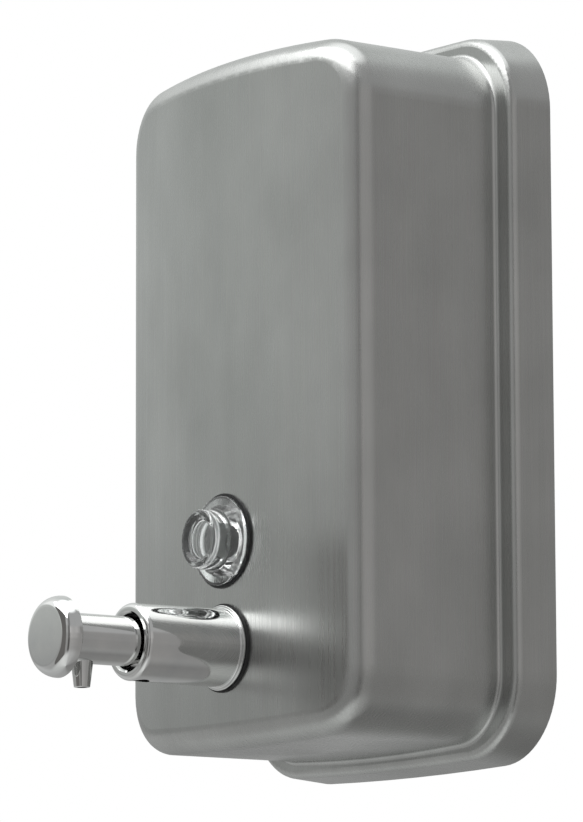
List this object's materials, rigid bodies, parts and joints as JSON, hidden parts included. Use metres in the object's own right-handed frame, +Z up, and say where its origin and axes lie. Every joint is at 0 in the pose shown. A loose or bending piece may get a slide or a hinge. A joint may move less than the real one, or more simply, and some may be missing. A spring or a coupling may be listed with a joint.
{
  "type": "wall mounted soap dispenser",
  "caption": "Wall mounted steel soap dispenser: bowed pressed tank, sprung push valve with spout, sight window, locking filler lid, hung on a screwed wall plate.",
  "frame": {"origin": "centre of the wall plate's four screw holes, on the wall plane, at half the rim's height", "axes": "+Z up, +Y into the wall, so the front looks along -Y, and +X to the right seen from the front"},
  "size_m": [0.127, 0.1252, 0.206],
  "materials": {
    "satin_steel": "satin",
    "zinc_steel": "zinc plated",
    "bright_chrome": "polished",
    "bare_steel": "drawn",
    "clear_plastic": "clear",
    "black_rubber": "matt",
    "white_plastic": "moulded",
    "brass": "machined"
  },
  "bodies": {
    "wall_plate": {"wall_plate": "zinc_steel"},
    "tank": {"tank_shell": "satin_steel", "tank_back": "satin_steel", "hanger_channels": "satin_steel", "hinge_leaf": "satin_steel", "hinge_pin": "bare_steel", "sight_window": "clear_plastic", "window_gasket": "black_rubber", "window_washer": "black_rubber", "window_nut": "white_plastic", "valve_sleeve": "bright_chrome", "valve_gasket": "black_rubber", "valve_washer": "black_rubber", "valve_nut": "brass", "stem_wiper": "black_rubber", "pump_cylinder": "white_plastic", "rod_bush": "white_plastic", "inlet_cap": "white_plastic", "inlet_valve": "black_rubber", "suction_tube": "white_plastic", "return_spring": "bare_steel"},
    "plunger": {"push_button": "bright_chrome", "plunger_stem": "bright_chrome", "spout_nozzle": "bright_chrome", "outlet_valve": "black_rubber", "piston_rod": "bare_steel", "piston_head": "white_plastic", "piston_seal": "black_rubber"},
    "lid": {"filler_lid": "satin_steel", "lid_gasket": "black_rubber", "lock_housing": "bright_chrome", "lock_nut": "zinc_steel"},
    "lock": {"lock_plug": "bright_chrome", "lock_cam": "zinc_steel", "cam_screw": "zinc_steel"}
  },
  "joints": [
    {"name": "lift_off", "type": "slide", "parent": "wall_plate", "child": "tank", "axis": [0, 0, 1], "range_m": [0, 0.016]},
    {"name": "valve_press", "type": "slide", "parent": "tank", "child": "plunger", "axis": [0, 1, 0], "range_m": [0, 0.011], "stiffness_N_per_m": 350, "springref_m": -0.02, "deforming": ["return_spring"]},
    {"name": "lid_hinge", "type": "hinge", "parent": "tank", "child": "lid", "pos_m": [0, -0.0186, 0.09885], "axis": [-1, 0, 0], "range_deg": [0, 95]},
    {"name": "lock_turn", "type": "hinge", "parent": "lid", "child": "lock", "pos_m": [0, -0.038, 0.097], "axis": [0, 0, -1], "range_deg": [0, 90]}
  ]
}
